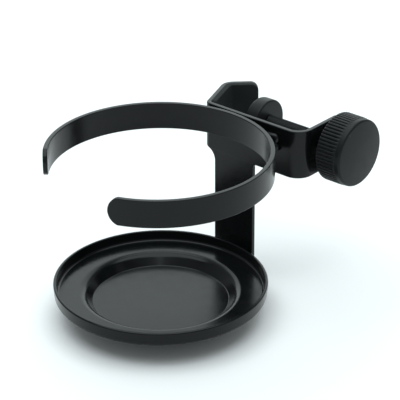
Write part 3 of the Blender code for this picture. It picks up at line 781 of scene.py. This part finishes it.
def make_nut():
    """A weld nut on the flange's inner face, with its pilot through the sheet."""
    face = BRACKET_HIGH.x - SHEET - GAP
    bore = BOLT_R + GAP
    pilot = NUT_PILOT_R
    profile = [(bore + 0.0004, NUT_LOW.x), (HEAD_FLATS / 2 - 0.0003, NUT_LOW.x),
               (CORNER_R, NUT_LOW.x + 0.0006), (CORNER_R, face - 0.0002), (CORNER_R - 0.0003, face),
               (pilot, face), (pilot, NUT_HIGH.x - 0.0003), (pilot - 0.0003, NUT_HIGH.x),
               (bore + 0.0002, NUT_HIGH.x), (bore, NUT_HIGH.x - 0.0002), (bore, NUT_LOW.x + 0.0004)]
    bm = lathe(profile, 96, closed=True, trim=hex_trim(HEAD_FLATS, NUT_LOW.x, face))
    return piece("captive_nut", bm, BLACK_STEEL, "black_steel", "holder", "flange_nut", ALONG_X, 30.0)


def make_screw():
    """The M6 clamping screw: button tip, neck, right-hand thread and the head inside the knob."""
    shank_start = PAD_HIGH.x - GAP
    thread_end = SHELL_LOW.x + THREAD_IN_KNOB
    head_front = BOLT_HIGH.x
    head_rear = head_front - HEAD_THICKNESS
    neck_low = PAD_HIGH.x - PAD_MOUTH_DEPTH
    profile = rounded([(0.0, BOLT_LOW.x, 0.0), (TIP_R, BOLT_LOW.x, 0.0012), (TIP_R, neck_low, 0.0002),
                       (NECK_R, neck_low, 0.0002), (NECK_R, shank_start - 0.0004, 0.0)],
                      closed=False, steps=5)
    count = round((thread_end - shank_start) / PITCH * THREAD_STEPS)
    profile += [(BOLT_R, shank_start + (thread_end - shank_start) * i / count) for i in range(count + 1)]
    profile += [(BOLT_R, head_rear), (CORNER_R, head_rear), (CORNER_R, head_front - 0.0006),
                (HEAD_FLATS / 2 - 0.0003, head_front), (0.0, head_front)]
    hexagon = hex_trim(HEAD_FLATS, head_rear, head_front)

    def trim(radius, height, angle):
        if radius > BOLT_R + 1e-6:
            return hexagon(radius, height, angle)
        if not shank_start <= height <= thread_end or radius < BOLT_R - 1e-6:
            return radius
        turn = (height / PITCH - angle / (2.0 * math.pi)) % 1.0
        crest = abs(2.0 * turn - 1.0)
        groove = max(0.0, min(1.0, (CREST_START - crest) / FLANK_SPAN))
        fade = min(1.0, (height - shank_start) / 0.0006 + 0.25, (thread_end - height) / 0.0008)
        lead_in = LEAD_IN * max(0.0, 1.0 - (height - shank_start) / 0.0005)
        return radius - lead_in - THREAD_DEPTH * groove * max(0.0, fade)

    bm = lathe(profile, 48, trim=trim)
    return piece("screw_rod", bm, BLACK_STEEL, "black_steel", "clamp_screw", "clamp_bolt", ALONG_X, 70.0)


def make_knob_rim():
    """The knob's ribbed shell: wide ribs with narrow grooves, open at the rear round its hub."""
    rear = SHELL_LOW.x
    front = SHELL_HIGH.x
    web = front - KNOB_WEB
    inner = KNOB_R - KNOB_WALL
    pocket = HEAD_POCKET_R
    pocket_floor = front - HEAD_POCKET_DEPTH
    ribs_start = rear + 0.0006
    ribs_end = front - 0.0004
    profile = [(KNOB_R - 0.0007, rear), (KNOB_R - 0.0002, rear + 0.0002)]
    profile += [(KNOB_R, ribs_start + (ribs_end - ribs_start) * i / 8) for i in range(9)]
    profile += [(KNOB_R - 0.0003, front)]
    profile += rounded([
        (pocket, front, 0.0), (pocket, pocket_floor, 0.0), (KNOB_BORE_R, pocket_floor, 0.0),
        (KNOB_BORE_R, rear, 0.0), (KNOB_HUB_R, rear, 0.0004), (KNOB_HUB_R - 0.0001, web, 0.0006),
        (inner, web, 0.0006), (inner + 0.0002, rear, 0.0)], closed=False, steps=4)

    def trim(radius, height, angle):
        if radius < KNOB_R - KNOB_WALL / 2:
            return radius
        across = (angle * KNOB_RIBS / (2.0 * math.pi)) % 1.0
        groove = RIB_DEPTH * (1.0 - math.sin(math.pi * across)) ** 2
        ending = max(0.0, min(1.0, (front - height) / RIB_RUN_OUT))
        return min(radius, KNOB_R - groove * ending - RIB_END_DEPTH * (1.0 - ending))

    bm = lathe(profile, KNOB_RIBS * STEPS_PER_RIB, closed=True, trim=trim)
    return piece("knob_rim", bm, KNOB_PLASTIC, "knob_plastic", "clamp_screw", "knob_shell", ALONG_X, 50.0)


def make_knob_face():
    """The snap-in cap: a smooth band that carries on from the ribs, a soft edge and a domed face."""
    low = SHELL_HIGH.x - 0.0002
    high = CAP_HIGH.x
    edge = (CAP_HIGH.z - CAP_LOW.z) / 2 + CAP_PROUD
    face = edge * 0.93
    dome = [(face * i / 12, high - CAP_DOME * (i / 12) ** 2) for i in range(12)]
    side = rounded([(face, high - CAP_DOME, 0.0), (edge - 0.0001, high - 0.0010, 0.0010),
                    (edge, low + 0.0003, 0.0002), (edge - 0.0002, low, 0.0)], closed=False, steps=8)
    bm = lathe(dome + side + [(0.0, low)], 144)
    return piece("knob_face", bm, KNOB_PLASTIC, "knob_plastic", "clamp_screw", "knob_cap", ALONG_X)


def make_pad():
    """A moulded disc with soft edges, and a stepped mouth for the screw's button and its ring."""
    front = PAD_LOW.x
    rear = PAD_HIGH.x
    mouth_floor = rear - PAD_MOUTH_DEPTH
    socket = BOLT_LOW.x - GAP
    mouth = BOLT_R + 0.0001
    groove = CLIP_R + 0.0001
    button = TIP_R + GAP
    profile = rounded([
        (0.0, socket, 0.0), (button, socket, 0.0008), (button, mouth_floor, 0.0),
        (groove, mouth_floor, 0.0), (groove, rear - 0.0006, 0.0), (mouth, rear - 0.0005, 0.0),
        (mouth, rear, 0.0), (PAD_R, rear, PAD_REAR_EDGE_R), (PAD_BODY_R, front, PAD_FRONT_EDGE_R),
        (0.0, front, 0.0)], closed=False, steps=5)
    bm = lathe(profile, 128)
    return piece("pad_disc", bm, KNOB_PLASTIC, "knob_plastic", "pad", "pressure_pad", ALONG_X)


def make_clip():
    """The open spring ring behind the screw's button tip."""
    ends = (CLIP_MOUTH_DEG, 360.0 - CLIP_MOUTH_DEG)
    outline = arc((0.0, 0.0), CLIP_R, *ends, 48)
    outline += arc((0.0, 0.0), NECK_R + GAP, *reversed(ends), 48)
    bm = blank([outline], CLIP_HIGH.x - CLIP_LOW.x, 0.0001, 2)
    middle = Matrix.Translation(((CLIP_LOW.x + CLIP_HIGH.x) / 2, 0.0, 0.0))
    return piece("pad_spring_ring", bm, BLACK_STEEL, "black_steel", "pad", "pad_clip", middle @ ALONG_X)


# ---------------------------------------------------------------- studio

CAMERA_AZIMUTH = 40.89                    # degrees from the front, towards the knob
CAMERA_ELEVATION = 26.83
CAMERA_ROLL = -0.20
CAMERA_DISTANCE = 0.73399
CAMERA_LENS = 180.95
TARGET_RIGHT = 0.01474                    # from the cup's axis, across the view
TARGET_RISE = 0.03789                     # above the foot of the dish's rim
COOL_WHITE = (0.90, 0.985, 1.0)
SURROUNDINGS = 0.45                       # radiance of everything that no lamp or floor covers
FLOOR_DROP = 0.0002                       # the floor lies just under the foot
FLOOR_REACH = 4.0


def outward(azimuth, elevation):
    """The direction from the object to where a camera or lamp stands, from its two angles in radians."""
    return Vector((math.sin(azimuth) * math.cos(elevation), -math.cos(azimuth) * math.cos(elevation),
                   math.sin(elevation)))


def make_camera():
    azimuth = math.radians(CAMERA_AZIMUTH)
    elevation = math.radians(CAMERA_ELEVATION)
    right = Vector((math.cos(azimuth), math.sin(azimuth), 0.0))
    back = outward(azimuth, elevation)
    target = Vector((CUP_X, CUP_Y, DISH_ZERO + TARGET_RISE)) + right * TARGET_RIGHT
    roll = Matrix.Rotation(math.radians(CAMERA_ROLL), 4, "Z")
    axes = Matrix((right, back.cross(right), back)).transposed().to_4x4()
    camera = bpy.data.objects.new("camera", bpy.data.cameras.new("camera"))
    camera.data.lens = CAMERA_LENS
    camera.data.sensor_width = 36.0
    camera.matrix_world = Matrix.Translation(target + back * CAMERA_DISTANCE) @ axes @ roll
    bpy.context.scene.collection.objects.link(camera)
    bpy.context.scene.camera = camera


def soft_box(name, azimuth, elevation, distance, width, height, radiance):
    """A rectangular light, aimed at the object from a direction seen as the camera's is."""
    way = outward(math.radians(azimuth), math.radians(elevation))
    light = bpy.data.lights.new(name, "AREA")
    light.shape = "RECTANGLE"
    light.size = width
    light.size_y = height
    light.color = COOL_WHITE
    light.energy = radiance * math.pi * width * height
    lamp = bpy.data.objects.new(name, light)
    lamp.location = Vector((CUP_X, CUP_Y, 0.0)) + way * distance
    lamp.rotation_euler = way.to_track_quat("Z", "Y").to_euler()
    bpy.context.scene.collection.objects.link(lamp)


def make_floor():
    bm = bmesh.new()
    bmesh.ops.create_grid(bm, x_segments=1, y_segments=1, size=FLOOR_REACH)
    mesh = bpy.data.meshes.new("studio_floor")
    bm.to_mesh(mesh)
    bm.free()
    floor = bpy.data.objects.new("studio_floor", mesh)
    floor.location = (0.0, 0.0, CAD_BOX[0][2] - FLOOR_DROP)
    material = bpy.data.materials.new("pale_floor")
    material.use_nodes = True
    shader = material.node_tree.nodes["Principled BSDF"]
    shader.inputs["Base Color"].default_value = (0.86, 0.86, 0.86, 1.0)
    shader.inputs["Roughness"].default_value = 0.9
    shader.inputs["Specular IOR Level"].default_value = 0.0
    mesh.materials.append(material)
    bpy.context.scene.collection.objects.link(floor)


def make_world():
    world = bpy.data.worlds.new("studio")
    world.use_nodes = True
    background = world.node_tree.nodes["Background"]
    background.inputs["Color"].default_value = (*COOL_WHITE, 1.0)
    background.inputs["Strength"].default_value = SURROUNDINGS
    bpy.context.scene.world = world


make_camera()
make_bracket()
make_ring()
make_weld("left", -1.0, LEFT_WELD_DEG, RING_LOW.z + LEFT_WELD_MARGIN, TOP - LEFT_WELD_MARGIN,
          LEFT_WELD_DABS)
make_weld("right", 1.0, RIGHT_WELD_DEG, TOP - RIGHT_WELD_LOW, TOP - RIGHT_WELD_HIGH, RIGHT_WELD_DABS)
make_liner()
make_dish()
for boss_side, boss_x in (("left", CUP_X - BOSS_X), ("right", CUP_X + BOSS_X)):
    make_boss(boss_side, boss_x)
    make_tray_screw(boss_side, boss_x)
make_nut()
make_screw()
make_knob_rim()
make_knob_face()
make_pad()
make_clip()
make_floor()
make_world()
soft_box("back_light", CAMERA_AZIMUTH + 180.0, 27.0, 1.2, 1.5, 0.9, 1.45)
soft_box("top_light", 0.0, 88.0, 1.6, 2.0, 2.0, 2.5)

bpy.context.scene.view_settings.view_transform = "Standard"
